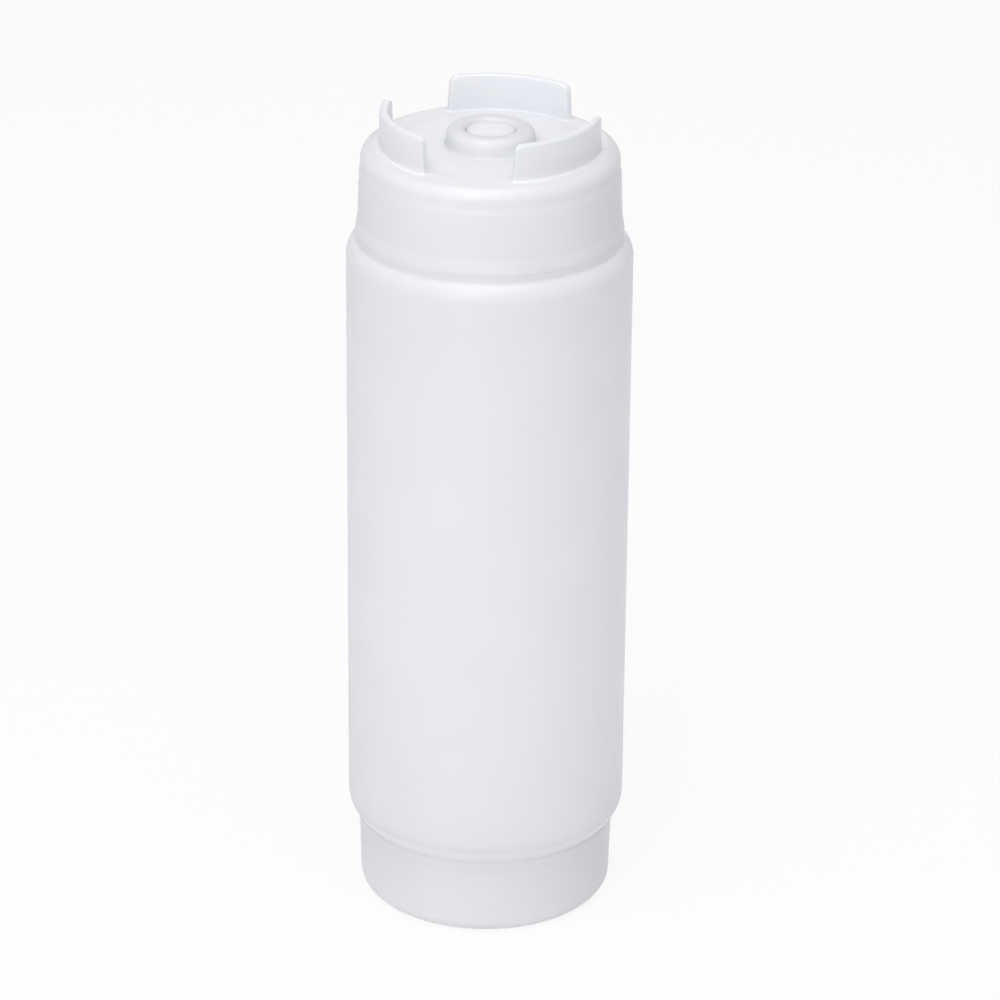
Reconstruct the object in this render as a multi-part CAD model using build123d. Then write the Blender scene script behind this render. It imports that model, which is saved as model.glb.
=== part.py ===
from build123d import *
import math
import os

os.makedirs("parts", exist_ok=True)

# Every size is in millimetres. The Z axis runs through both necks, and the bottle stands at Z = 0 on
# its refill cap. X and Y follow the cap's prongs: see prong_azimuth.

# Bottle body, one thin shell that is open at both ends
body_radius = 32.0
body_length = 140.8
body_wall = 1.1
lower_corner_round = 1.4
lower_step_height = 2.6
lower_step_width = 2.0
lower_step_round = 0.3
shoulder_height = 3.6
shoulder_radius = 30.0
shoulder_rise = 0.8
shoulder_round = 5.2
shoulder_edge_round = 1.4

# Necks, alike at both ends
neck_radius = 25.2
neck_wall = 1.8
neck_edge_round = 0.4
neck_root_round = 0.8

# Threads, right-handed, alike on both necks
thread_starts = 2
thread_lead = 8.47
thread_turns = 1.15
thread_depth = 1.2
thread_crest = 1.0
thread_flank = 0.4
thread_sink = 0.3
thread_rim_distance = 2.1
thread_run_out = 15.0
thread_side_play = 0.2
thread_radial_play = 0.3

# Caps, alike at both ends
cap_wall = 2.7
cap_draft = 0.4
cap_plate = 1.8
cap_flare = 0.45
cap_flare_height = 3.4
cap_flare_round = 3.0
cap_rim_height = 0.8
cap_edge_round = 0.4

# Gaskets between the caps and the neck rims
gasket_thickness = 1.2
gasket_overhang = 0.6
gasket_play = 0.4
rim_gap = 0.05

# Refill cap
refill_cap_height = 19.2
refill_cap_gap = 0.4
refill_cap_round = 3.6

# Dispensing cap
dispensing_cap_height = 19.6
dispensing_cap_gap = 0.4
crown_height = 5.2
crown_inset = 0.25
crown_round = 3.0

# Prongs that the bottle stands on when it is turned over
prong_count = 3
prong_azimuth = 12.0
prong_spread = 72.0
prong_height = 8.3
prong_radius = 24.6
prong_thickness = 2.0
prong_draft = 0.1
prong_top_round = 0.5
prong_foot_round = 0.8
prong_end_draft = 0.4
prong_end_round = 1.8

# Boss around the valve
boss_radius = 9.95
boss_draft = 0.3
boss_height = 4.2
boss_round = 1.9
boss_foot_round = 0.8
boss_lip = 1.65
mouth_radius = 5.3
mouth_round = 1.5
valve_bore = 8.2

# Valve, one elastic disc with crossed slits
valve_flange_thickness = 1.2
valve_flange_play = 0.2
valve_head_play = 0.4
valve_head_height = 1.0
valve_dome = 0.3
valve_wall = 0.7
valve_skin = 0.5
slit_reach = 3.9
slit_half_gap = 0.04
lip_hinge_gap = 0.05
lip_undercut = 31.0
lip_count = 4

# Ring that holds the valve in the boss from inside
retainer_wall = 2.2
retainer_flange_radius = 10.6
retainer_flange_thickness = 1.3
retainer_edge_round = 0.3
bead_height = 1.2
bead_proud = 0.25
bead_play = 0.05

# How far cutting tools run past the faces that they cut
overrun = 1.0

# Radii and heights that follow from the sizes above. Heights near a cap are counted outwards from the
# rim of its neck, because both ends are built the same way and then placed.
neck_bore = neck_radius - neck_wall
thread_radius = neck_radius + thread_depth
cap_bore = thread_radius + thread_radial_play
cap_thread_radius = neck_radius + thread_radial_play
cap_radius = cap_bore + cap_wall
plate_inside = rim_gap + gasket_thickness
plate_outside = plate_inside + cap_plate
boss_rim = plate_outside + boss_height
valve_seat = boss_rim - boss_lip
valve_flange_bottom = valve_seat - valve_flange_thickness
valve_head_radius = mouth_radius - valve_head_play
valve_head_edge = valve_seat + valve_head_height
lip_hinge_distance = slit_reach / math.sqrt(2)

lower_rim = plate_outside
step_bottom = refill_cap_height + refill_cap_gap
step_radius = body_radius - lower_step_width
body_bottom = step_bottom + lower_step_height
body_top = body_bottom + body_length
upper_rim = body_top + dispensing_cap_gap + dispensing_cap_height - plate_outside
upper_end = Pos(0, 0, upper_rim)
lower_end = Pos(0, 0, lower_rim) * Rot(180, 0, 0)


def turned(*corners, angle=360.0):
    """Solid of revolution about Z from corners given as (radius, height, rounding)."""
    points = [(radius, height) for radius, height, rounding in corners]
    roundings = [rounding for radius, height, rounding in corners]
    outline = FilletPolyline(*points, radius=roundings, close=True)
    return revolve(Plane.XZ * make_face(outline), Axis.Z, revolution_arc=angle)


def polar(radius, degrees, height=0.0):
    """Point at an angle from the X axis towards the Y axis."""
    turn = math.radians(degrees)
    return Vector(radius * math.cos(turn), radius * math.sin(turn), height)


def run_out(wall_radius, crest_radius, degrees, direction, height):
    """Wedge that slopes one end of a thread ridge down into its wall."""
    at_wall = polar(wall_radius, degrees)
    at_crest = polar(crest_radius, degrees + direction * thread_run_out)
    before_wall = at_wall + (at_wall - at_crest)
    aside = polar(3 * (crest_radius - wall_radius), degrees)
    wedge = make_face(Polyline(before_wall, at_crest, at_crest + aside, before_wall + aside, close=True))
    return Pos(0, 0, height) * extrude(wedge, thread_lead / thread_starts / 2, both=True)


def thread(wall_radius, crest_radius, last_height):
    """All starts of a thread, as ridges from a wall to a crest, below a last height."""
    sink = math.copysign(thread_sink, crest_radius - wall_radius)
    root_radius = wall_radius - sink
    half_crest = thread_crest / 2
    half_root = half_crest + thread_flank * abs(crest_radius - root_radius)
    climb = thread_lead * thread_turns
    section = Polyline(
        (root_radius, -half_root),
        (crest_radius, -half_crest),
        (crest_radius, half_crest),
        (root_radius, half_root),
        close=True,
    )
    helix = Helix(pitch=thread_lead, height=climb, radius=root_radius)
    ridge = sweep(Plane.XZ * make_face(section), path=helix, is_frenet=True)
    ridge -= run_out(wall_radius, crest_radius, 0, 1, 0)
    ridge -= run_out(wall_radius, crest_radius, 360 * thread_turns, -1, climb)
    first_height = last_height - climb
    return [Pos(0, 0, first_height) * Rot(0, 0, 360 * k / thread_starts) * ridge for k in range(thread_starts)]


def neck_thread():
    """Ridges on the outside of a neck."""
    return thread(neck_radius, thread_radius, -thread_rim_distance)


def cap_thread():
    """Ridges inside a cap, a play below those of the neck that they bear on."""
    offset = thread_crest + thread_flank * (thread_radius - cap_thread_radius) + thread_side_play
    return thread(cap_bore, cap_thread_radius, -thread_rim_distance - offset)


def bottle_body():
    """Shell with a straight barrel, a neck at each end, a step below and a rounded shoulder above."""
    slope_start = body_top - shoulder_height
    under_shoulder = body_top - shoulder_rise - body_wall
    outside = turned(
        (0, lower_rim, 0),
        (neck_radius, lower_rim, neck_edge_round),
        (neck_radius, step_bottom, neck_root_round),
        (step_radius, step_bottom, lower_step_round),
        (step_radius, body_bottom, lower_step_round),
        (body_radius, body_bottom, lower_corner_round),
        (body_radius, slope_start, shoulder_round),
        (shoulder_radius, body_top - shoulder_rise, shoulder_edge_round),
        (neck_radius, body_top, neck_root_round),
        (neck_radius, upper_rim, neck_edge_round),
        (0, upper_rim, 0),
    )
    inside = turned(
        (0, lower_rim - overrun, 0),
        (neck_bore, lower_rim - overrun, 0),
        (neck_bore, step_bottom + body_wall, neck_root_round + body_wall),
        (step_radius - body_wall, step_bottom + body_wall, max(lower_step_round - body_wall, 0)),
        (step_radius - body_wall, body_bottom + body_wall, lower_step_round + body_wall),
        (body_radius - body_wall, body_bottom + body_wall, max(lower_corner_round - body_wall, 0)),
        (body_radius - body_wall, slope_start, shoulder_round - body_wall),
        (shoulder_radius - body_wall, under_shoulder, max(shoulder_edge_round - body_wall, 0)),
        (neck_bore, body_top - body_wall, neck_root_round + body_wall),
        (neck_bore, upper_rim + overrun, 0),
        (0, upper_rim + overrun, 0),
    )
    ridges = [end * ridge for end in (lower_end, upper_end) for ridge in neck_thread()]
    return outside - inside + ridges


def cap_shell(height, crown):
    """Skirt that flares a little at its open end, closed by a plate. Crown gives the outer corners."""
    open_end = plate_outside - height
    rim_radius = cap_radius + cap_flare
    shell = turned(
        (cap_bore, open_end, cap_edge_round),
        (rim_radius, open_end, cap_edge_round),
        (rim_radius, open_end + cap_rim_height, cap_flare_round),
        (cap_radius, open_end + cap_flare_height, cap_flare_round),
        *crown,
        (0, plate_outside, 0),
        (0, plate_inside, 0),
        (cap_bore, plate_inside, gasket_play),
    )
    return shell + cap_thread()


def refill_cap():
    """Plain cup-shaped cap whose plate is the foot of the bottle."""
    crown = [(cap_radius - cap_draft, plate_outside, refill_cap_round)]
    return lower_end * cap_shell(refill_cap_height, crown)


def prong():
    """One standing prong, an arc wall with rounded upper corners, centred on the X axis."""
    top = plate_outside + prong_height
    inner = prong_radius - prong_thickness
    foot = inner - prong_foot_round - prong_top_round
    wall = turned(
        (foot, plate_inside, 0),
        (foot, plate_outside, 0),
        (inner, plate_outside, prong_foot_round),
        (inner + prong_draft, top, prong_top_round),
        (prong_radius - prong_draft, top, prong_top_round),
        (prong_radius, plate_outside, 0),
        (prong_radius, plate_inside, 0),
        angle=prong_spread,
    )
    wall = Rot(0, 0, -prong_spread / 2) * wall
    end_outline = FilletPolyline(
        (-overrun, 0),
        (0, 0),
        (prong_end_draft, prong_height),
        (3 * prong_end_round, prong_height),
        (3 * prong_end_round, prong_height + overrun),
        (-overrun, prong_height + overrun),
        radius=[0, 0, prong_end_round, 0, 0, 0],
        close=True,
    )
    for side in (-1, 1):
        outward = polar(1, side * prong_spread / 2)
        along = Vector(0, 0, 1).cross(outward) * -side
        end_plane = Plane(outward * inner + (0, 0, plate_outside), x_dir=along, z_dir=outward * -side)
        wall -= extrude(end_plane * make_face(end_outline), 2 * prong_thickness, both=True)
    return wall


def boss():
    """Ring around the valve, with an inward lip that the valve is clamped against."""
    foot = boss_radius + 2 * boss_foot_round
    return turned(
        (valve_bore, plate_inside, 0),
        (valve_bore, valve_seat, 0),
        (mouth_radius, valve_seat, 0),
        (mouth_radius, boss_rim, mouth_round),
        (boss_radius - boss_draft, boss_rim, boss_round),
        (boss_radius, plate_outside, boss_foot_round),
        (foot, plate_outside, 0),
        (foot, plate_inside, 0),
    )


def bead(play):
    """Snap bead around the retainer's sleeve, or its groove where the play is added."""
    middle = (plate_inside + valve_flange_bottom) / 2
    half = bead_height / 2 + play
    inner = valve_bore - overrun
    outer = valve_bore + bead_proud + play
    return turned(
        (inner, middle - half, 0),
        (valve_bore, middle - half, 0),
        (outer, middle - half / 2, 0),
        (outer, middle + half / 2, 0),
        (valve_bore, middle + half, 0),
        (inner, middle + half, 0),
    )


def dispensing_cap():
    """Screw cap with a stepped crown, standing prongs and the boss that holds the valve."""
    crown = [
        (cap_radius - cap_draft, plate_outside - crown_height, 0),
        (cap_radius - cap_draft - crown_inset, plate_outside - crown_height, 0),
        (cap_radius - cap_draft - crown_inset, plate_outside, crown_round),
    ]
    cap = cap_shell(dispensing_cap_height, crown)
    cap -= Cylinder(valve_bore, 2 * boss_rim)
    cap += boss()
    cap -= bead(bead_play)
    first = 90 - prong_azimuth
    cap += [Rot(0, 0, first - 360 * k / prong_count) * prong() for k in range(prong_count)]
    return upper_end * cap


def valve_blank():
    """The whole valve before it is slit: a domed head on a short sleeve with a flange."""
    sleeve_bore = valve_head_radius - valve_wall
    crest = valve_head_edge + valve_dome
    under_edge = valve_head_edge - valve_skin
    under_crest = crest - valve_skin
    half = math.sqrt(0.5)
    dome_outside = ThreePointArc(
        (0, crest),
        (valve_head_radius * half, valve_head_edge + valve_dome / 2),
        (valve_head_radius, valve_head_edge),
    )
    side = Polyline(
        (valve_head_radius, valve_head_edge),
        (valve_head_radius, valve_seat),
        (valve_bore - valve_flange_play, valve_seat),
        (valve_bore - valve_flange_play, valve_flange_bottom),
        (sleeve_bore, valve_flange_bottom),
        (sleeve_bore, under_edge),
    )
    dome_inside = ThreePointArc(
        (sleeve_bore, under_edge),
        (sleeve_bore * half, under_edge + valve_dome / 2),
        (0, under_crest),
    )
    axis_line = Line((0, under_crest), (0, crest))
    return revolve(Plane.XZ * make_face([dome_outside, side, dome_inside, axis_line]), Axis.Z)


def valve_rim():
    """The valve without its four lips, left open where they stand."""
    window = Rot(0, 0, 45) * Box(2 * lip_hinge_distance, 2 * lip_hinge_distance, 4 * boss_rim)
    return upper_end * (valve_blank() - window)


def valve_lip(number):
    """One of the four lips between the slits. Its sides lean in below, so that it swings out freely."""
    crest = valve_head_edge + valve_dome
    tip = slit_half_gap * math.sqrt(2)
    base = lip_hinge_distance - lip_hinge_gap
    outline = Polyline((tip, 0), (base, tip - base), (base, base - tip), close=True)
    wedge = extrude(Pos(0, 0, crest) * make_face(outline), -2 * valve_skin, taper=lip_undercut)
    return upper_end * (valve_blank() & Rot(0, 0, 45 + 360 * number / lip_count) * wedge)


def valve_retainer():
    """Ring that snaps into the boss from inside the cap and clamps the valve's flange."""
    flange_bottom = plate_inside - retainer_flange_thickness
    bore = valve_bore - retainer_wall
    ring = turned(
        (bore, flange_bottom, retainer_edge_round),
        (retainer_flange_radius, flange_bottom, retainer_edge_round),
        (retainer_flange_radius, plate_inside, 0),
        (valve_bore, plate_inside, 0),
        (valve_bore, valve_flange_bottom, 0),
        (bore, valve_flange_bottom, retainer_edge_round),
    )
    return upper_end * (ring + bead(0))


def gasket():
    """Flat ring that lies against a cap's plate and seals on the neck rim."""
    inner = neck_bore - gasket_overhang
    outer = cap_bore - gasket_play
    return turned(
        (inner, rim_gap, 0),
        (outer, rim_gap, 0),
        (outer, plate_inside, 0),
        (inner, plate_inside, 0),
    )


nodes = {
    "bottle_body": bottle_body(),
    "refill_cap": refill_cap(),
    "refill_gasket": lower_end * gasket(),
    "dispensing_cap": dispensing_cap(),
    "dispensing_gasket": upper_end * gasket(),
    "valve_rim": valve_rim(),
    "valve_retainer": valve_retainer(),
}
for number in range(lip_count):
    nodes[f"valve_lip_{number + 1}"] = valve_lip(number)

for name, shape in nodes.items():
    export_step(shape, f"parts/{name}.step")
    print(name, len(shape.solids()), "solid", round(shape.volume, 1), "mm3")

overall_height = upper_rim + plate_outside + prong_height
print("overall height", round(overall_height, 2), "neck rims", lower_rim, upper_rim)
print("valve lip hinge radius", round(lip_hinge_distance, 3))
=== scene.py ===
# %% [markdown]
# An inverted squeeze bottle for sauces, in milky plastic. It stands on a plain refill cap, and its
# upper cap carries a slit valve and three prongs, on which the bottle stands when it is turned over.
# The frame holds the measured solids and how they move. Each piece here is a finer mesh that takes
# the place of one of them, so the first step is to load the frame and note the size of the whole.

# %% Load the frame
import math

import bmesh
import bpy
from mathutils import Matrix, Vector


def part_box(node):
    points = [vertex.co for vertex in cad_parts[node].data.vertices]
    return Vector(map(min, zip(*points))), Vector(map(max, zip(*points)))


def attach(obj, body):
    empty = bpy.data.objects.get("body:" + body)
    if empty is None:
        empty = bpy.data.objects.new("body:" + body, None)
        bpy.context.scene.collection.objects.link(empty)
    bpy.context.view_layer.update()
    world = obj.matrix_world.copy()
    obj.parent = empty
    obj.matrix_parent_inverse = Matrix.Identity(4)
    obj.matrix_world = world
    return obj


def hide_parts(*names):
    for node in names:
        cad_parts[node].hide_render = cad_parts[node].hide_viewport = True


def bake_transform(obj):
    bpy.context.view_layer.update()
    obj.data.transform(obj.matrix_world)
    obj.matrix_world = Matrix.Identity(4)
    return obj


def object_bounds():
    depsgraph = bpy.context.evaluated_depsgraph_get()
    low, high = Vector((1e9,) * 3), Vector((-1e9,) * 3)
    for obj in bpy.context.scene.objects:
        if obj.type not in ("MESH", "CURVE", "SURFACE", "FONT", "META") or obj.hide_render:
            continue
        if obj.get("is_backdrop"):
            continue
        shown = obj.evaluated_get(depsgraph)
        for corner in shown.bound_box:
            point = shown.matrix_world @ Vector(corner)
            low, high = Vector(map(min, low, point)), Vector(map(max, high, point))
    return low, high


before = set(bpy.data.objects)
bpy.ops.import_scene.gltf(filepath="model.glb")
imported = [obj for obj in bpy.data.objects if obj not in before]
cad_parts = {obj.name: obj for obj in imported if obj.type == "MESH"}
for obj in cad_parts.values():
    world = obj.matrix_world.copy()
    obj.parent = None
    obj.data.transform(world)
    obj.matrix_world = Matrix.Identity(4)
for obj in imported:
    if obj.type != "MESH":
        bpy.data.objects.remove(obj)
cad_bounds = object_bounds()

mm = 0.001
print("frame box in mm", [[round(v / mm, 2) for v in corner] for corner in cad_bounds])

# %% [markdown]
# The photograph looks down on the bottle by some 24 degrees from a metre away, through a long lens.
# The camera could be set by eye, but its distance shows in how much rounder the top ring looks than
# the foot, so it was fitted to the outline. It stays unshifted, and the half degree of roll is the
# photograph's own.

# %% Camera
image_width = 1000
focus_pixels = 4695.7
camera_distance = 1069.9 * mm
camera_elevation = math.radians(24.395)
camera_roll = math.radians(0.517)
camera_target = Vector((2.787, 0, 96.99)) * mm

camera_data = bpy.data.cameras.new("camera")
camera_data.lens = focus_pixels * camera_data.sensor_width / image_width
camera = bpy.data.objects.new("camera", camera_data)
bpy.context.scene.collection.objects.link(camera)
towards_camera = Vector((0, -math.cos(camera_elevation), math.sin(camera_elevation)))
camera.location = camera_target + camera_distance * towards_camera
level_turn = towards_camera.to_track_quat("Z", "Y").to_matrix()
camera.rotation_euler = (level_turn @ Matrix.Rotation(camera_roll, 3, "Z")).to_euler()
bpy.context.scene.camera = camera
print("lens in mm", round(camera_data.lens, 1))

# %% [markdown]
# The object was photographed on white, under broad soft light from above and from the left of the
# camera, with a darker right side. A white world gives the even part of that light. The lamps are
# large, as studio soft boxes are, apart from the narrow one that draws the short highlights on the
# crown of the cap and on the bottle's shoulder. Their powers could be guessed one render at a time.
# Here each lamp was rendered alone first, the powers whose sum comes nearest to the photograph's
# shading were worked out, and the rest was corrected.

# %% Lamps
bpy.context.scene.view_settings.view_transform = "Standard"


def soft_box(name, azimuth, elevation, distance, width, height, power):
    """Lamp that faces the middle of the bottle. Azimuth 0 is the camera's side, 90 its right."""
    data = bpy.data.lights.new(name, "AREA")
    data.shape = "RECTANGLE"
    data.size = width
    data.size_y = height
    data.energy = power
    lamp = bpy.data.objects.new(name, data)
    bpy.context.scene.collection.objects.link(lamp)
    turn = math.radians(azimuth)
    rise = math.radians(elevation)
    away = Vector((math.sin(turn) * math.cos(rise), -math.cos(turn) * math.cos(rise), math.sin(rise)))
    lamp.location = camera_target + distance * away
    lamp.rotation_euler = away.to_track_quat("Z", "Y").to_euler()
    print(name, "at", [round(v, 2) for v in lamp.location])


soft_box("key_soft_box", azimuth=-15, elevation=41, distance=1.4, width=0.26, height=0.45, power=2.0)
soft_box("high_soft_box", azimuth=-15, elevation=62, distance=1.4, width=1.3, height=1.1, power=7.8)
soft_box("top_soft_box", azimuth=0, elevation=85, distance=1.4, width=0.9, height=0.9, power=4.0)
soft_box("low_soft_box", azimuth=-22, elevation=11, distance=1.5, width=0.8, height=0.4, power=2.4)

# %% [markdown]
# Shader maths reads best as plain sums. Blender's nodes could be added one call at a time, but then
# a mask of three terms takes ten lines. So one small class wraps a node's output and adds a Math node
# for each operator, and one method adds any other node from its settings and its sockets' values.


# %% Shader values
class Value:
    """A number that varies from place to place: the output of a node, for use in sums and products."""

    def __init__(self, graph, socket):
        self.graph = graph
        self.socket = socket

    def math(self, operation, first, second):
        return self.graph.add("ShaderNodeMath", {"operation": operation}, {0: first, 1: second})

    def __add__(self, other):
        return self.math("ADD", self, other)

    __radd__ = __add__

    def __sub__(self, other):
        return self.math("SUBTRACT", self, other)

    def __rsub__(self, other):
        return self.math("SUBTRACT", other, self)

    def __mul__(self, other):
        return self.math("MULTIPLY", self, other)

    __rmul__ = __mul__


class Graph:
    """The nodes of a material or of the world."""

    def __init__(self, owner):
        owner.use_nodes = True
        self.tree = owner.node_tree

    def add(self, kind, settings, inputs, output=0):
        """Adds a node of any type: its settings first, then its sockets' values or links."""
        node = self.tree.nodes.new(kind)
        for name, setting in settings.items():
            setattr(node, name, setting)
        for name, value in inputs.items():
            self.feed(node.inputs[name], value)
        return Value(self, node.outputs[output])

    def feed(self, socket, value):
        """Links a value to a socket, or sets the socket where the value is the same everywhere."""
        if isinstance(value, Value):
            self.tree.links.new(value.socket, socket)
        else:
            socket.default_value = value


print("shader classes", Value.__name__, Graph.__name__)

# %% [markdown]
# The paper under and behind the object is plain white, and in the photograph it is white right up to
# the object. More light on the scene would bleach the plastic too. So what the camera, a reflection or
# a refraction sees of the world is white of strength 1, while the light that falls on the object is
# softer. The floor is mixed the same way, but only in part, so that it keeps the object's shadow.

# %% White surroundings
ambient_strength = 0.45
floor_size = 12.0
floor_colour = (0.9, 0.9, 0.9, 1)
floor_glow = 0.88
white = (1, 1, 1, 1)


def seen_directly(graph):
    """1 for the rays that show a surface itself, and 0 for those that only gather light from it."""
    direct = graph.add("ShaderNodeLightPath", {}, {}, "Is Camera Ray")
    for kind in ("Is Glossy Ray", "Is Transmission Ray"):
        direct = direct.math("MAXIMUM", direct, graph.add("ShaderNodeLightPath", {}, {}, kind))
    return direct


world = bpy.data.worlds.new("studio")
bpy.context.scene.world = world
air = Graph(world)
air.feed(air.tree.nodes["Background"].inputs["Color"], white)
ambient = ambient_strength + (1 - ambient_strength) * seen_directly(air)
air.feed(air.tree.nodes["Background"].inputs["Strength"], ambient)

floor_finish = bpy.data.materials.new("floor_paper")
paper = Graph(floor_finish)
matt = paper.add("ShaderNodeBsdfDiffuse", {}, {"Color": floor_colour})
glow = paper.add("ShaderNodeEmission", {}, {"Color": white, "Strength": 1.0})
share = floor_glow * seen_directly(paper)
surface = paper.add("ShaderNodeMixShader", {}, {0: share, 1: matt, 2: glow})
paper.feed(paper.tree.nodes["Material Output"].inputs["Surface"], surface)

floor_mesh = bmesh.new()
bmesh.ops.create_grid(floor_mesh, x_segments=8, y_segments=8, size=floor_size / 2)
floor_data = bpy.data.meshes.new("floor")
floor_mesh.to_mesh(floor_data)
floor_mesh.free()
floor_data.materials.append(floor_finish)
floor = bpy.data.objects.new("floor", floor_data)
bpy.context.scene.collection.objects.link(floor)
floor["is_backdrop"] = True
print("floor is", floor_size, "m wide")

# %% [markdown]
# A finish is a material with its Principled shader. Its textures are placed by the object's own
# coordinates, so they are as large as on the real thing and stay on a piece that moves. Noise gives
# what is irregular, smooth steps cut it into marks, and the height and the distance from the axis
# pick out places.


# %% Finishes
class Finish(Graph):
    """A material under construction."""

    def __init__(self, name):
        self.material = bpy.data.materials.new(name)
        super().__init__(self.material)
        self.shader = self.tree.nodes["Principled BSDF"]
        self.place = self.add("ShaderNodeTexCoord", {}, {}, "Object")
        self.height = self.add("ShaderNodeSeparateXYZ", {}, {0: self.place}, "Z")
        flat = self.add("ShaderNodeVectorMath", {"operation": "MULTIPLY"}, {0: self.place, 1: (1, 1, 0)})
        self.away = self.add("ShaderNodeVectorMath", {"operation": "LENGTH"}, {0: flat}, "Value")

    def set(self, **sockets):
        """Sets sockets of the shader, whose names have underscores here in place of spaces."""
        for name, value in sockets.items():
            self.feed(self.shader.inputs[name.replace("_", " ")], value)

    def noise(self, grain, stretch=(1, 1, 1), detail=2.0):
        """Soft noise around 0.5, whose lumps are about one grain wide, in metres."""
        place = self.add("ShaderNodeVectorMath", {"operation": "MULTIPLY"}, {0: self.place, 1: stretch})
        inputs = {"Vector": place, "Scale": 1 / grain, "Detail": detail}
        return self.add("ShaderNodeTexNoise", {}, inputs)

    def step(self, value, low, high):
        """Smooth step from 0 to 1 as a value goes from low to high."""
        inputs = {"Value": value, "From Min": low, "From Max": high}
        return self.add("ShaderNodeMapRange", {"interpolation_type": "SMOOTHSTEP"}, inputs)

    def band(self, low, high, fade):
        """Mask of the heights between low and high, in metres, with soft edges."""
        above = self.step(self.height, low - fade, low + fade)
        below = self.step(self.height, high - fade, high + fade)
        return above * (1 - below)

    def blend(self, share, first, second):
        """Colour between two colours."""
        return self.add("ShaderNodeMix", {"data_type": "RGBA"}, {0: share, 6: first, 7: second}, 2)

    def pass_light(self, share, colour):
        """Lets a share of the light through, scattered, as a thin milky wall does."""
        through = self.add("ShaderNodeBsdfTranslucent", {}, {"Color": colour})
        shaders = {0: share, 1: Value(self, self.shader.outputs[0]), 2: through}
        mixed = self.add("ShaderNodeMixShader", {}, shaders)
        self.feed(self.tree.nodes["Material Output"].inputs["Surface"], mixed)

    def relief(self, height, depth, under=None):
        """Normal of a relief of that depth in metres, over another normal."""
        inputs = {"Height": height, "Distance": depth}
        if under:
            inputs["Normal"] = under
        return self.add("ShaderNodeBump", {}, inputs)


print("material class", Finish.__name__)

# %% [markdown]
# The bottle and its caps are plastic without pigment, which is milky: it takes up almost no light, but
# lets much of it through, scattered. White paint would look like plaster, with black gaps beside the
# caps, where the real one is lit from within. So the colour is nearly white, and up to half of the
# light passes the wall by a Translucent shader. Subsurface scattering could do it too, but it takes
# longer and blurs the edges. The wall's thickness varies, which shows as faint clouds, and the grain
# of the mould keeps the highlights satin. Hands and racks leave short scuffs. The roughness stays
# within 0.27, because the renderer's noise filter treats rougher plastic in another way, and a jagged
# line would show where that begins.

# %% Milky plastic
plastic_ior = 1.5
plastic_roughness = 0.19
cloud_grain = 16 * mm
skin_grain = 0.25 * mm
skin_depth = 0.004 * mm
scuff_grain = 2.4 * mm
scuff_stretch = (1, 1, 14)
scuff_depth = 0.003 * mm
scuff_patch_grain = 7 * mm
scuffs_everywhere = 0.15
worn_dullness = 0.97
# Painted shade: the greyer colour blended onto the prongs' outer faces.
painted_shade_colour = (0.79, 0.8, 0.83, 1)


def milky_plastic(name, colour, thick_colour, share_through, draw_lines, worn, painted_shade=None):
    """Plastic with clouds, fine lines along the way it was drawn, scuffs where it is worn, and painted
    shade where a mask asks for it.
    """
    finish = Finish(name)
    clouds = finish.step(finish.noise(cloud_grain, detail=3), 0.3, 0.7)
    lines = finish.noise(*draw_lines)
    patches = finish.step(finish.noise(scuff_patch_grain), 0.45, 0.65)
    rubbed = finish.step(finish.noise(scuff_grain, scuff_stretch, 4), 0.6, 0.72) * patches
    wear = worn(finish)
    scuffs = rubbed * (scuffs_everywhere + (1 - scuffs_everywhere) * wear)
    milk = finish.blend(clouds, colour, thick_colour)
    dulled = [worn_dullness * channel for channel in thick_colour[:3]] + [1]
    milk = finish.blend(0.4 * scuffs + 0.1 * wear, milk, dulled)
    # Painted shade: a greyer colour blended in where the mask asks for it.
    if painted_shade:
        milk = finish.blend(painted_shade(finish), milk, painted_shade_colour)
    finish.set(
        Base_Color=milk,
        Roughness=plastic_roughness + 0.03 * clouds + 0.015 * lines + 0.015 * scuffs + 0.02 * wear,
        Normal=finish.relief(scuffs, scuff_depth, finish.relief(finish.noise(skin_grain), skin_depth)),
        IOR=plastic_ior,
    )
    finish.pass_light(share_through(finish), milk)
    return finish.material


print("scuffs are", scuff_depth / mm, "mm deep")

# %% [markdown]
# How bright a milky wall looks depends on what is behind it. The straight wall has a bright cavity
# behind it, and half of the light can pass. Behind the bottle's corners and under the cap's plate,
# which lies on the gasket, it is dark, and the same share would draw dark rings there that the real
# bottle doesn't have. So the share is smaller in those places.

# %% Light through the walls
barrel_bottom = 22.5 * mm
barrel_top = 161 * mm
barrel_middle = 100 * mm
barrel_light = 0.5
lower_loss = 0.2
upper_loss = 0.1
cap_plate_top = 183 * mm
cap_light = 0.32
gasket_inside = 22 * mm
gasket_outside = 26.5 * mm
gasket_loss = 0.12


def barrel_share(finish):
    """Half of the light passes the straight wall, and less passes beyond its corners."""
    beyond = 1 - finish.band(barrel_bottom, barrel_top, 1 * mm)
    upper = finish.step(finish.height, barrel_middle, barrel_middle + 1 * mm)
    return barrel_light - beyond * (lower_loss - (lower_loss - upper_loss) * upper)


def cap_share(finish):
    """A third of the light passes a cap, and less where its plate lies on the gasket."""
    plate = finish.band(cap_plate_top - 1 * mm, cap_plate_top + 1 * mm, 0.5 * mm)
    within = 1 - finish.step(finish.away, gasket_outside - 1 * mm, gasket_outside)
    gasket = finish.step(finish.away, gasket_inside, gasket_inside + 1 * mm)
    return cap_light - gasket_loss * plate * within * gasket


print("shares of light let through", barrel_light, cap_light)
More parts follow.
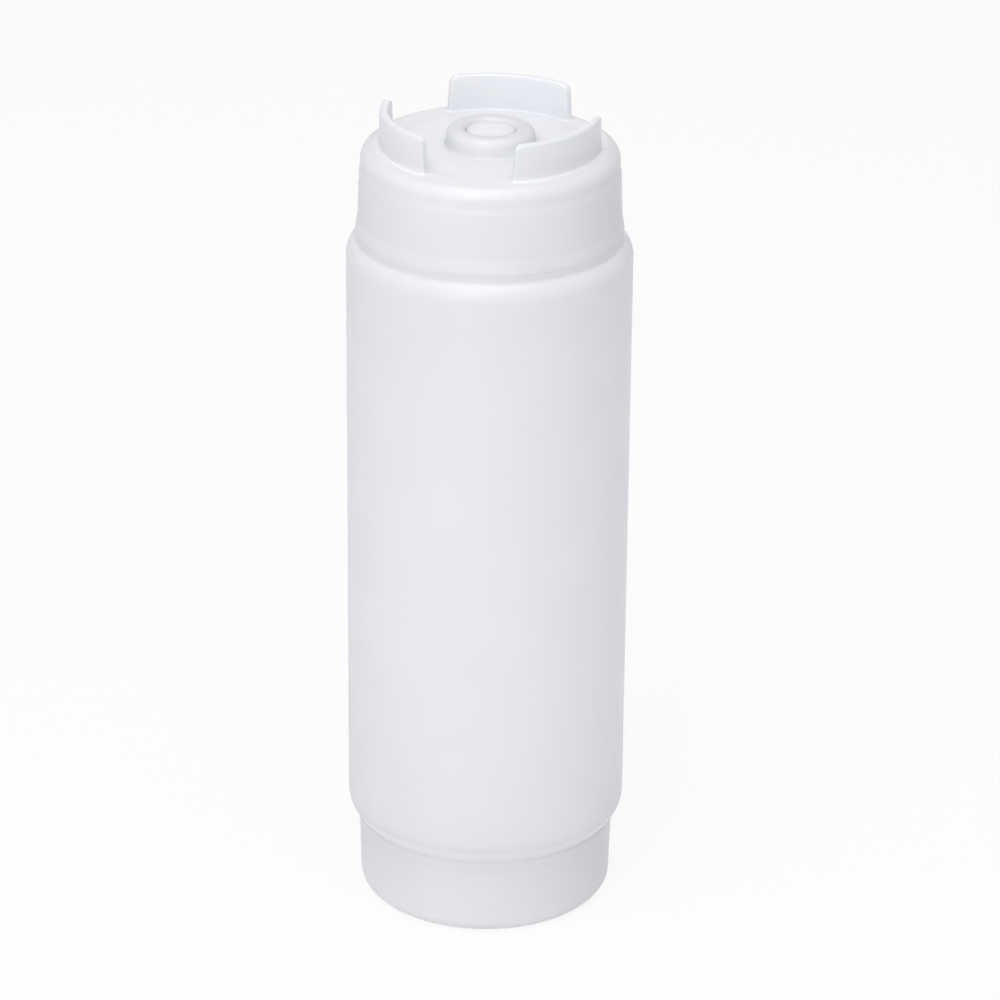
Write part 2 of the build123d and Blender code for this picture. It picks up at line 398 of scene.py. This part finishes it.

# %% [markdown]
# More masks follow the height. In the photograph the outer faces of the prongs look greyer than the
# cap, although they stand free in the light, so a greyer colour is blended in there as painted shade.
# And wear follows use: racks and hands touch the barrel's lower corner and its shoulder, and the
# bottle stands on the foot's rim one way up and on the tips of the prongs the other way. Each worn
# place is a band between two heights, and its third number is how softly the band ends.

# %% Painted shade and wear
# How strong the painted shade on the prongs is, and the radius from which it starts.
painted_shade_strength = 0.42
painted_shade_start = 23.2 * mm
worn_corner = (15 * mm, 27 * mm, 6 * mm)
worn_shoulder = (148 * mm, 160 * mm, 8 * mm)
worn_tips = (190.2 * mm, 192 * mm, 0.4 * mm)
worn_foot = (-1 * mm, 1.2 * mm, 0.8 * mm)


def painted_prong_shade(finish):
    """Mask of the painted shade on the outer half of each prong."""
    prongs = finish.step(finish.height, cap_plate_top, cap_plate_top + 2 * mm)
    outer = finish.step(finish.away, painted_shade_start, painted_shade_start + 1 * mm)
    return painted_shade_strength * prongs * outer


def barrel_wear(finish):
    """Mask of the barrel's lower corner and its shoulder."""
    return finish.band(*worn_corner) + finish.band(*worn_shoulder)


def cap_wear(finish):
    """Mask of the foot's rim and the tips of the prongs."""
    return finish.band(*worn_tips) + finish.band(*worn_foot)


bottle_plastic = milky_plastic(
    "bottle_plastic",
    colour=(0.965, 0.968, 0.985, 1),
    thick_colour=(0.95, 0.955, 0.975, 1),
    share_through=barrel_share,
    draw_lines=(1.1 * mm, (1, 1, 0.04)),
    worn=barrel_wear,
)
cap_plastic = milky_plastic(
    "cap_plastic",
    colour=(0.957, 0.964, 0.988, 1),
    thick_colour=(0.942, 0.95, 0.978, 1),
    share_through=cap_share,
    draw_lines=(5 * mm, (1, 1, 0.5)),
    worn=cap_wear,
    painted_shade=painted_prong_shade,
)
print("plastics", bottle_plastic.name, cap_plastic.name)

# %% [markdown]
# The valve is silicone, softer and clearer than the plastic round it. The gaskets are the same
# material with a matt, talced skin, and the ring that holds the valve is a moulding without gloss.

# %% Silicone and the retainer's plastic
soft_ior = 1.42
dust_grain = 0.3 * mm
dust_dullness = 0.94
patch_grain = 3 * mm
matt_grain = 0.15 * mm
matt_depth = 0.003 * mm


def soft_finish(name, colour, dust_share, roughness, light_share):
    """Soft rubber or matt plastic, with fine dust on it."""
    finish = Finish(name)
    dust = finish.step(finish.noise(dust_grain, detail=3), 0.62, 0.75)
    clouds = finish.noise(patch_grain)
    dusty = [dust_dullness * channel for channel in colour[:3]] + [1]
    skin = finish.blend(dust_share * dust + 0.4 * clouds, colour, dusty)
    finish.set(
        Base_Color=skin,
        Roughness=roughness + 0.08 * clouds + 0.15 * dust,
        Normal=finish.relief(finish.noise(matt_grain), matt_depth),
        IOR=soft_ior,
    )
    finish.pass_light(light_share, skin)
    return finish.material


valve_silicone = soft_finish("valve_silicone", (0.98, 0.983, 0.995, 1), 0.3, 0.32, 0.35)
gasket_silicone = soft_finish("gasket_silicone", (0.93, 0.935, 0.95, 1), 0.6, 0.55, 0.35)
retainer_plastic = soft_finish("retainer_plastic", (0.95, 0.955, 0.97, 1), 0.2, 0.45, 0.3)
print("soft finishes", valve_silicone.name, gasket_silicone.name, retainer_plastic.name)

# %% [markdown]
# Almost every piece here is turned about the bottle's axis. A lathe tool could be had from Blender's
# screw modifier, but its corners would stay sharp, and real moulded corners never are. So an outline
# is given as corners, each with its own rounding, and is turned into rings of vertices. An extra point
# near each end of a straight stretch keeps it straight in the shading too.


# %% Rounded outlines
arc_steps_per_turn = 48
least_arc_steps = 3
support_gap = 0.12 * mm
turned_steps = 240


def rounded(corner, before, after, rounding):
    """Points of the arc that rounds a corner."""
    to_before = (before - corner).normalized()
    to_after = (after - corner).normalized()
    half_angle = to_before.angle(to_after) / 2
    reach = rounding / math.tan(half_angle)
    centre = corner + (to_before + to_after).normalized() * rounding / math.sin(half_angle)
    start = corner + to_before * reach - centre
    sweep = start.angle_signed(corner + to_after * reach - centre)
    steps = max(least_arc_steps, round(abs(sweep) / math.tau * arc_steps_per_turn))
    return [centre + Matrix.Rotation(-sweep * step / steps, 2) @ start for step in range(steps + 1)]


def outline(*corners):
    """Points of a closed outline, from corners given as (radius, height, rounding) in metres."""
    places = [Vector(corner[:2]) for corner in corners]
    arcs = []
    for index, (place, corner) in enumerate(zip(places, corners)):
        after = places[(index + 1) % len(places)]
        arcs.append(rounded(place, places[index - 1], after, corner[2]) if corner[2] else [place])
    points = []
    for arc, following in zip(arcs, arcs[1:] + arcs[:1]):
        points += arc
        straight = following[0] - arc[-1]
        if straight.length > 3 * support_gap:
            support = straight.normalized() * support_gap
            points += [arc[-1] + support, following[0] - support]
    return points


def join_rings(mesh, rings):
    """Faces between each ring of vertices and the next, without those that have no width."""
    for ring, following in zip(rings, rings[1:]):
        for step in range(len(ring)):
            after = (step + 1) % len(ring)
            around = dict.fromkeys([ring[step], ring[after], following[after], following[step]])
            if len(around) > 2:
                mesh.faces.new(around)


def turn(mesh, points, swell=None, angles=None):
    """Adds a body of revolution to a mesh. Swell gives an extra radius from angle, height and radius."""
    angles = angles or [math.tau * step / turned_steps for step in range(turned_steps)]
    rings = []
    for radius, height in points:
        if not radius:
            rings.append([mesh.verts.new((0, 0, height))] * len(angles))
            continue
        ring = []
        for angle in angles:
            reach = radius + (swell(angle, height, radius) if swell else 0)
            ring.append(mesh.verts.new((reach * math.cos(angle), reach * math.sin(angle), height)))
        rings.append(ring)
    join_rings(mesh, rings + rings[:1])


print("outline arcs have", arc_steps_per_turn, "steps a turn")

# %% [markdown]
# A finished mesh becomes a piece: it gets the finish of its slot, and the measured solids whose place
# it takes are hidden. Most pieces are then hung on an empty for the body that they ride on. Edges
# sharper than 35 degrees stay sharp in the shading, which leaves the roundings smooth.

# %% Pieces from meshes
sharp_angle = math.radians(35)
finishes = {
    "bottle_plastic": bottle_plastic,
    "cap_plastic": cap_plastic,
    "valve_silicone": valve_silicone,
    "gasket_silicone": gasket_silicone,
    "retainer_plastic": retainer_plastic,
}


def piece(name, mesh, slot, stands_for=()):
    """Makes an object of a mesh, with the finish of its slot, and frees the mesh."""
    bmesh.ops.recalc_face_normals(mesh, faces=mesh.faces)
    data = bpy.data.meshes.new(name)
    mesh.to_mesh(data)
    mesh.free()
    data.materials.append(finishes[slot])
    data.shade_smooth()
    data.set_sharp_from_angle(angle=sharp_angle)
    made = bpy.data.objects.new(name, data)
    bpy.context.scene.collection.objects.link(made)
    if stands_for:
        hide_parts(*stands_for)
    print(name, len(data.polygons), "faces")
    return made


# %% [markdown]
# The threads of both necks are alike, and so are the skirts and threads of both caps. So they are
# described once, outwards from the rim of a neck, and then placed at either end. The sizes that the
# frame knows are read from it. The rest are the same ones as in the measured solids.

# %% Sizes that both ends share
body_low, body_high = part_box("bottle_body")
lower_rim = body_low.z
upper_rim = body_high.z
upper_end = Matrix.Translation((0, 0, upper_rim))
lower_end = Matrix.Translation((0, 0, lower_rim)) @ Matrix.Rotation(math.pi, 4, "X")

neck_radius = 25.2 * mm
neck_bore = 23.4 * mm
thread_starts = 2
thread_lead = 8.47 * mm
thread_turns = 1.15
thread_crest = 1.0 * mm
thread_flank = 0.4
thread_sink = 0.3 * mm
thread_end = -2.1 * mm
thread_run_out = 15
thread_side_play = 0.2 * mm
thread_radial_play = 0.3 * mm
thread_crest_round = 0.15 * mm

thread_radius = neck_radius + 1.2 * mm
cap_bore = thread_radius + thread_radial_play
cap_radius = cap_bore + 2.7 * mm
plate_inside = 1.25 * mm
plate_outside = plate_inside + 1.8 * mm
edge_break = 0.1 * mm
print("neck rims at", round(lower_rim / mm, 2), "and", round(upper_rim / mm, 2))

# %% [markdown]
# The screw threads have two starts and a steep pitch, so that a cap comes off in one turn. They hide
# inside the caps until one is unscrewed. A ridge is a row of small sections along a helix. It rises
# out of its wall over the first 15 degrees and sinks back over the last, as a moulded thread does.


# %% Screw threads
def thread(mesh, wall, crest, end, placement, step_angle=3):
    """Adds both starts of a thread, as ridges from a wall to a crest, below an end height."""
    first = len(mesh.verts)
    side = math.copysign(1, crest - wall)
    last_angle = 360 * thread_turns
    steps = round(last_angle / step_angle)
    for start in range(thread_starts):
        sections = []
        for step in range(steps + 1):
            angle = last_angle * step / steps
            rise = min(1, angle / thread_run_out, (last_angle - angle) / thread_run_out)
            top = wall + (crest - wall) * rise
            half_top = thread_crest / 2 + thread_flank * abs(crest - top)
            root = wall - side * thread_sink
            half_root = thread_crest / 2 + thread_flank * abs(crest - root)
            soft = thread_crest_round * rise
            middle = end - thread_lead * (last_angle - angle) / 360
            section = [(root, -half_root), (top - side * soft, -half_top - thread_flank * soft)]
            section += [(top, soft - half_top), (top, half_top - soft)]
            section += [(top - side * soft, half_top + thread_flank * soft), (root, half_root)]
            around = math.radians(angle) + math.tau * start / thread_starts
            ring = []
            for radius, height in section:
                place = (radius * math.cos(around), radius * math.sin(around), middle + height)
                ring.append(mesh.verts.new(place))
            sections.append(ring)
        join_rings(mesh, sections)
        mesh.faces.new(sections[0])
        mesh.faces.new(sections[-1])
    mesh.verts.ensure_lookup_table()
    bmesh.ops.transform(mesh, matrix=placement, verts=mesh.verts[first:])


print("a thread climbs", round(thread_lead * thread_turns / mm, 2), "mm")

# %% [markdown]
# The bottle is blow moulded: one thin shell with a neck at each end and straight sides. Below its
# lower corner a short cone leads down to the rim of the refill cap, and above its shoulder a low
# collar leads up to the rim of the other cap. Both fill gaps of a millimetre or two, which would look
# like dark bands. The two halves of its mould leave a faint seam down each side, which is modelled,
# because it catches the light when the bottle is turned. Extra vertices stand only where the seam is.

# %% Bottle
body_radius = body_high.x
body_wall = 1.1 * mm
body_bottom = 22.2 * mm
step_bottom = 19.6 * mm
step_radius = body_radius - 2.0 * mm
cone_foot_radius = step_radius - 0.2 * mm
cone_foot = 19.22 * mm
cone_top = body_bottom + 0.2 * mm
body_top = 163.0 * mm
slope_start = body_top - 3.5 * mm
inner_slope_start = slope_start - 1 * mm
shoulder_radius = 30.0 * mm
collar_radius = shoulder_radius - 0.2 * mm
collar_foot = body_top - 1.4 * mm
collar_top = body_top + 0.38 * mm
under_rim_radius = cap_bore + 0.5 * mm
neck_lip_round = 0.4 * mm
neck_bore_round = 0.3 * mm
neck_root_round = 0.8 * mm
inner_root_round = 1.9 * mm
lower_corner_round = 6 * mm
shoulder_round = 4.5 * mm
collar_round = 1.2 * mm
seam_height = 0.05 * mm
seam_half_width = 0.3 * mm
seam_inner_radius = neck_radius + 1.5 * mm
seam_side_steps = 4
shell_radius = body_radius - seam_height


def mould_seam(angle, height, radius):
    """Extra radius on the outside of the shell, at the two places where the mould opens."""
    if radius < seam_inner_radius or not body_bottom < height < body_top:
        return 0
    aside = abs(math.sin(angle)) * radius / seam_half_width
    return seam_height * max(0, 1 - aside) ** 2


def bottle():
    """Mesh of the shell, with the threads of both necks."""
    mesh = bmesh.new()
    inner_radius = shell_radius - body_wall
    shape = outline(
        (neck_bore, lower_rim, neck_bore_round),
        (neck_radius, lower_rim, neck_lip_round),
        (neck_radius, step_bottom, neck_root_round),
        (under_rim_radius, step_bottom, edge_break),
        (under_rim_radius, cone_foot, edge_break),
        (cone_foot_radius, cone_foot, edge_break),
        (shell_radius, cone_top, lower_corner_round),
        (shell_radius, slope_start, shoulder_round),
        (collar_radius, collar_foot, collar_round),
        (collar_radius, collar_top, edge_break / 2),
        (under_rim_radius, collar_top, edge_break),
        (under_rim_radius, body_top, edge_break),
        (neck_radius, body_top, neck_root_round),
        (neck_radius, upper_rim, neck_lip_round),
        (neck_bore, upper_rim, neck_bore_round),
        (neck_bore, body_top - body_wall, inner_root_round),
        (shoulder_radius - body_wall, collar_foot - body_wall, 0.3 * mm),
        (inner_radius, inner_slope_start, 3 * mm),
        (inner_radius, body_bottom + body_wall, 0.3 * mm),
        (step_radius - body_wall, body_bottom + body_wall, 1.4 * mm),
        (step_radius - body_wall, step_bottom + body_wall, 0.2 * mm),
        (neck_bore, step_bottom + body_wall, inner_root_round),
    )
    angles = {math.tau * step / turned_steps for step in range(turned_steps)}
    seam_step = seam_half_width / seam_side_steps / shell_radius
    for side in (0, math.pi):
        angles |= {side + step * seam_step for step in range(-seam_side_steps, seam_side_steps + 1)}
    turn(mesh, shape, mould_seam, sorted(angle % math.tau for angle in angles))
    for end in (lower_end, upper_end):
        thread(mesh, neck_radius, thread_radius, thread_end, end)
    return mesh


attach(piece("bottle_shell", bottle(), "bottle_plastic", ["bottle_body"]), "bottle")

# %% [markdown]
# A cap is a cup with an inner thread, whose skirt flares a little towards its open end, where the
# mould's stripper ring pushes it off. The two caps differ only in what closes them, so the skirt is
# one function that takes the corners of the crown.

# %% Cap skirt
cap_draft = 0.4 * mm
flare = 0.45 * mm
flare_height = 3.4 * mm
flare_round = 3 * mm
rim_height = 0.8 * mm
rim_round = 0.12 * mm
plate_root_round = 0.4 * mm


def skirt(height, crown):
    """Corners of a cap, from the inner edge of its plate over its rim to its crown."""
    open_end = plate_outside - height
    skirt_corners = [
        (cap_bore, plate_inside, plate_root_round),
        (cap_bore, open_end, rim_round),
        (cap_radius + flare, open_end, rim_round),
        (cap_radius + flare, open_end + rim_height, flare_round),
        (cap_radius, open_end + flare_height, flare_round),
    ]
    return skirt_corners + crown


def cap_thread(mesh):
    """The inner ridges, a play below those of the neck that they bear on."""
    crest = neck_radius + thread_radial_play
    offset = thread_crest + thread_flank * (thread_radius - crest) + thread_side_play
    thread(mesh, cap_bore, crest, thread_end - offset, Matrix.Identity(4))


print("cap radius in mm", round(cap_radius / mm, 2))

# %% [markdown]
# The refill cap is the bottle's foot in this picture. It is a plain cup, closed by a flat plate with
# a rounded edge. In the middle of its underside the moulding gate has left a shallow dimple with a
# small stub in it, which doesn't reach the surface that the bottle stands on.

# %% Refill cap
refill_cap_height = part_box("refill_cap")[1].z
foot_round = 3.6 * mm
dimple_radius = 3.2 * mm
dimple_depth = 0.4 * mm
dimple_round = 0.15 * mm
stub_radius = 0.9 * mm
stub_height = 0.25 * mm


def refill_cap():
    """Mesh of the plain cap, with its thread, at the lower end."""
    mesh = bmesh.new()
    dimple_floor = plate_outside - dimple_depth
    crown = [
        (cap_radius - cap_draft, plate_outside, foot_round),
        (dimple_radius, plate_outside, dimple_round),
        (dimple_radius - dimple_depth, dimple_floor, dimple_round),
        (stub_radius, dimple_floor, edge_break),
        (stub_radius, dimple_floor + stub_height, edge_break),
        (0, dimple_floor + stub_height, 0),
    ]
    turn(mesh, outline((0, plate_inside, 0), *skirt(refill_cap_height, crown)))
    cap_thread(mesh)
    bmesh.ops.transform(mesh, matrix=lower_end, verts=mesh.verts)
    return mesh


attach(piece("refill_cap_cup", refill_cap(), "cap_plastic", ["refill_cap"]), "refill_closure")

# %% [markdown]
# The dispensing cap steps in below its rounded crown, so slightly that it shows as no more than a
# soft ramp, and the boss in the middle has a rounded mouth that leads down to the valve. Skirt,
# plate and boss are one outline.

# %% Dispensing cap
dispensing_cap_height = upper_rim + plate_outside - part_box("dispensing_cap")[0].z
crown_inset = 0.25 * mm
crown_height = 5.2 * mm
crown_ramp = 0.7 * mm
crown_round = 3 * mm
crown_radius = cap_radius - cap_draft - crown_inset
crown_start = plate_outside - crown_height
boss_radius = 9.95 * mm
boss_draft = 0.3 * mm
boss_height = 4.2 * mm
boss_lip = 1.65 * mm
boss_rim = plate_outside + boss_height
valve_seat = boss_rim - boss_lip
boss_root_round = 0.8 * mm
boss_rim_round = 1.9 * mm
mouth_round = 1.5 * mm
valve_bore = 8.2 * mm
valve_bore_round = 0.3 * mm
mouth_radius = 5.3 * mm


def dispensing_cap():
    """Mesh of the upper cap with its boss and its thread, without the prongs."""
    mesh = bmesh.new()
    crown = [
        (cap_radius - cap_draft, crown_start - crown_ramp, crown_round),
        (crown_radius, crown_start + crown_ramp, crown_round),
        (crown_radius, plate_outside, crown_round),
        (boss_radius, plate_outside, boss_root_round),
        (boss_radius - boss_draft, boss_rim, boss_rim_round),
        (mouth_radius, boss_rim, mouth_round),
        (mouth_radius, valve_seat, edge_break),
        (valve_bore, valve_seat, edge_break / 2),
        (valve_bore, plate_inside, valve_bore_round),
    ]
    turn(mesh, outline(*skirt(dispensing_cap_height, crown)))
    cap_thread(mesh)
    bmesh.ops.transform(mesh, matrix=upper_end, verts=mesh.verts)
    return mesh


cup = piece("dispensing_cap_cup", dispensing_cap(), "cap_plastic", ["dispensing_cap"])
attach(cup, "dispensing_closure")

# %% [markdown]
# Three prongs stand round the valve. Each is a curved wall with soft edges, and its upper corners are
# rounded off more. It is built flat, as a stack of rounded rectangles from foot to tip, and is then
# bent round the axis. The lowest rings flare out into the plate, as the mould's fillet does, and the
# highest close over the top edge. What rounds the two upper corners is a drop in height, which grows
# towards each end as the arc of a circle does.

# %% Prongs
prong_count = 3
prong_azimuth = math.radians(90 - 12)
prong_spread = math.radians(72)
prong_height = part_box("dispensing_cap")[1].z - upper_rim - plate_outside
prong_thickness = 2.0 * mm
prong_middle = 24.6 * mm - prong_thickness / 2
prong_length = prong_middle * prong_spread
prong_draft = 0.1 * mm
prong_end_draft = 0.4 * mm
prong_edge = 0.55 * mm
prong_least_edge = 0.02 * mm
prong_top_round = 0.5 * mm
prong_corner_round = 1.8 * mm
prong_foot_round = 0.5 * mm
prong_foot_sink = 0.4 * mm
arc_steps = 6
wall_steps = 10
lid_steps = 4
long_side_steps = 44
short_side_steps = 8
edge_steps = 5


def rectangle(length, width, edge):
    """Points around a rectangle with rounded corners, closer together towards its corners."""
    half_length = length / 2 - edge
    half_width = width / 2 - edge
    corners = [(half_length, half_width), (-half_length, half_width)]
    corners += [(-half_length, -half_width), (half_length, -half_width)]
    points = []
    for quarter, corner in enumerate(corners):
        following = corners[(quarter + 1) % 4]
        for step in range(edge_steps):
            angle = math.tau / 4 * (quarter + step / edge_steps)
            points.append((corner[0] + edge * math.cos(angle), corner[1] + edge * math.sin(angle)))
        angle = math.tau / 4 * (quarter + 1)
        steps = short_side_steps if quarter % 2 else long_side_steps
        for step in range(steps):
            share = (1 - math.cos(math.pi * step / steps)) / 2
            x = corner[0] + (following[0] - corner[0]) * share + edge * math.cos(angle)
            y = corner[1] + (following[1] - corner[1]) * share + edge * math.sin(angle)
            points.append((x, y))
    return points


def prong_ring(mesh, height, grow):
    """One ring around a prong at a height above the plate, grown or shrunk from the drafted wall."""
    share = min(max(height, 0) / (prong_height - prong_top_round), 1)
    top_length = prong_length - 2 * prong_end_draft
    length = prong_length - 2 * prong_end_draft * share + 2 * grow
    width = prong_thickness - 2 * prong_draft * share + 2 * grow
    ring = []
    for x, y in rectangle(length, width, max(prong_edge + grow, prong_least_edge)):
        from_end = max(top_length / 2 - abs(x), 0)
        rest = max(prong_corner_round - from_end, 0)
        drop = (prong_corner_round - math.sqrt(prong_corner_round**2 - rest**2)) * share**3
        radius = prong_middle + y
        turned = x / prong_middle
        place = (radius * math.cos(turned), radius * math.sin(turned), plate_outside + height - drop)
        ring.append(mesh.verts.new(place))
    return ring


def prong_outline():
    """Heights of the rings and how far each stands out, from the sunk foot to the middle of the top."""
    rows = [(-prong_foot_sink, prong_foot_round)]
    quarter = [math.tau / 4 * step / arc_steps for step in range(arc_steps + 1)]
    for angle in quarter:
        rows.append((prong_foot_round * (1 - math.cos(angle)), prong_foot_round * (1 - math.sin(angle))))
    wall_top = prong_height - prong_top_round
    for step in range(1, wall_steps):
        rows.append((prong_foot_round + (wall_top - prong_foot_round) * step / wall_steps, 0))
    for angle in quarter:
        lift = prong_top_round * math.sin(angle)
        rows.append((wall_top + lift, -prong_top_round * (1 - math.cos(angle))))
    lid = prong_thickness / 2 - prong_draft - prong_top_round
    for step in range(1, lid_steps + 1):
        rows.append((prong_height, -prong_top_round - lid * step / lid_steps))
    return rows


def prong(turn_angle):
    """Mesh of one prong, turned to its place."""
    mesh = bmesh.new()
    rings = [prong_ring(mesh, height, grow) for height, grow in prong_outline()]
    join_rings(mesh, rings)
    mesh.faces.new(rings[0])
    bmesh.ops.remove_doubles(mesh, verts=mesh.verts, dist=0.005 * mm)
    placement = upper_end @ Matrix.Rotation(turn_angle, 4, "Z")
    bmesh.ops.transform(mesh, matrix=placement, verts=mesh.verts)
    return mesh


for number in range(prong_count):
    azimuth = prong_azimuth - math.tau * number / prong_count
    made = piece(f"prong_{number + 1}", prong(azimuth), "cap_plastic")
    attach(made, "dispensing_closure")

# %% [markdown]
# The valve is one disc of silicone, slit twice across its domed head, and four lips between the slits
# swing outwards when the bottle is squeezed. The frame has each lip as a hinged body of its own, so
# the disc is made as four quarters. The cut faces lean away from the slit below, as far as the lips
# need in order to pass each other.

# %% Valve
valve_head_radius = mouth_radius - 0.2 * mm
valve_head_edge = valve_seat + 1.0 * mm
valve_dome = 0.3 * mm
valve_skin = 0.5 * mm
valve_edge_round = 0.15 * mm
valve_ledge = valve_head_edge - 0.2 * mm
valve_sleeve_bore = valve_head_radius - 0.7 * mm
valve_flange_radius = valve_bore - 0.2 * mm
valve_flange_bottom = valve_seat - 1.2 * mm
valve_fit_radius = mouth_radius - 0.02 * mm
slit_reach = 3.9 * mm
slit_half_gap = 0.012 * mm
lip_lean = math.tan(math.radians(31))
lean_fade = 4 * valve_skin
lip_count = 4
quarter_steps = 30
dome_radii = [radius * mm for radius in (0.5, 0.9, 1.3, 1.7, 2.1, 2.5, 2.9, 3.3, 3.6, 3.8)]


def dome(radius):
    """Height of the head's outer face at a radius."""
    return valve_head_edge + valve_dome * (1 - (radius / valve_head_radius) ** 2)


def cut(radius, depth):
    """How far a quarter stays clear of the middle of a slit, at a depth below the outer face."""
    if radius >= slit_reach:
        return 0
    return slit_half_gap + lip_lean * depth * min(1, (slit_reach - radius) / lean_fade)


def valve_outline():
    """Points of a quarter's section as (radius, height, cut), from its tip round and back below it."""
    tip = slit_half_gap * math.sqrt(2)
    under_tip = cut(0, valve_skin) * math.sqrt(2)
    outer = [(radius, dome(radius), cut(radius, 0)) for radius in [tip, *dome_radii, slit_reach]]
    shape = outline(
        (0, valve_head_edge, 0),
        (valve_head_radius, valve_head_edge, valve_edge_round),
        (valve_head_radius, valve_ledge, edge_break),
        (valve_fit_radius, valve_ledge, edge_break / 2),
        (valve_fit_radius, valve_seat, edge_break),
        (valve_flange_radius, valve_seat, edge_break / 2),
        (valve_flange_radius, valve_flange_bottom, 2 * edge_break),
        (valve_sleeve_bore, valve_flange_bottom, edge_break),
        (valve_sleeve_bore, valve_head_edge - valve_skin, edge_break),
    )
    side = [(point.x, point.y, 0) for point in shape if point.x > slit_reach]
    inner = []
    for radius in [slit_reach, *reversed(dome_radii)]:
        if radius > under_tip:
            inner.append((radius, dome(radius) - valve_skin, cut(radius, valve_skin)))
    inner.append((under_tip, dome(under_tip) - valve_skin, under_tip / math.sqrt(2)))
    return outer + side + inner


def valve_quarter(number):
    """Mesh of one quarter of the valve, turned to its place."""
    mesh = bmesh.new()
    rows = []
    for radius, height, clear in valve_outline():
        low = math.asin(min(clear / radius, math.sqrt(0.5)))
        row = []
        for step in range(quarter_steps + 1):
            angle = low + (math.pi / 2 - 2 * low) * step / quarter_steps
            row.append(mesh.verts.new((radius * math.cos(angle), radius * math.sin(angle), height)))
        rows.append(row)
    for row, following in zip(rows, rows[1:] + rows[:1]):
        for step in range(quarter_steps):
            mesh.faces.new([row[step], row[step + 1], following[step + 1], following[step]])
    mesh.faces.new([row[0] for row in rows])
    mesh.faces.new([row[-1] for row in rows])
    bmesh.ops.remove_doubles(mesh, verts=mesh.verts, dist=0.001 * mm)
    placement = upper_end @ Matrix.Rotation(math.tau * number / lip_count, 4, "Z")
    bmesh.ops.transform(mesh, matrix=placement, verts=mesh.verts)
    return mesh


for number in range(lip_count):
    lip = f"valve_lip_{number + 1}"
    stands_for = [lip] if number else [lip, "valve_rim"]
    made = piece(f"valve_quarter_{number + 1}", valve_quarter(number), "valve_silicone", stands_for)
    level = Vector((0, 0, upper_rim + valve_head_edge))
    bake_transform(made)

# %% [markdown]
# A ring snaps into the boss from inside and clamps the valve's flange. A bead round it holds it
# there. The ring is hidden until the cap is taken off.

# %% Valve retainer
retainer_bore = valve_bore - 2.2 * mm
retainer_flange_radius = 10.6 * mm
retainer_flange_bottom = plate_inside - 1.3 * mm
retainer_round = 0.3 * mm
bead_height = 1.2 * mm
bead_radius = valve_bore + 0.25 * mm
bead_middle = (plate_inside + valve_flange_bottom) / 2


def retainer():
    """Mesh of the ring with its bead."""
    mesh = bmesh.new()
    shape = outline(
        (retainer_bore, retainer_flange_bottom, retainer_round),
        (retainer_flange_radius, retainer_flange_bottom, retainer_round),
        (retainer_flange_radius, plate_inside, edge_break),
        (valve_bore, plate_inside, 0),
        (valve_bore, bead_middle - bead_height / 2, 0),
        (bead_radius, bead_middle - bead_height / 4, edge_break),
        (bead_radius, bead_middle + bead_height / 4, edge_break),
        (valve_bore, bead_middle + bead_height / 2, 0),
        (valve_bore, valve_flange_bottom, edge_break),
        (retainer_bore, valve_flange_bottom, retainer_round),
    )
    turn(mesh, shape)
    bmesh.ops.transform(mesh, matrix=upper_end, verts=mesh.verts)
    return mesh


ring = piece("valve_retainer_ring", retainer(), "retainer_plastic", ["valve_retainer"])
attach(ring, "dispensing_closure")

# %% [markdown]
# A flat silicone washer seals each cap on its neck. It is a plain lathe turning with broken edges.

# %% Gaskets
gasket_inner = neck_bore - 0.6 * mm
gasket_outer = cap_bore - 0.4 * mm
gasket_low = 0.05 * mm
gasket_edge = 0.15 * mm


def gasket(placement):
    """Mesh of a washer, at the end that is asked for."""
    mesh = bmesh.new()
    shape = outline(
        (gasket_inner, gasket_low, gasket_edge),
        (gasket_outer, gasket_low, gasket_edge),
        (gasket_outer, plate_inside, gasket_edge),
        (gasket_inner, plate_inside, gasket_edge),
    )
    turn(mesh, shape)
    bmesh.ops.transform(mesh, matrix=placement, verts=mesh.verts)
    return mesh


for end, placement in (("dispensing", upper_end), ("refill", lower_end)):
    washer = piece(f"{end}_washer", gasket(placement), "gasket_silicone", [f"{end}_gasket"])
    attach(washer, f"{end}_seal")

# %% [markdown]
# The finished model has to keep the size of the measured one. Both boxes are written down, so that
# they can be compared.

# %% Sizes and finish
boxes = {"cad": cad_bounds, "visual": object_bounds()}
for name, corners in boxes.items():
    print(name, [[round(v / mm, 3) for v in corner] for corner in corners])
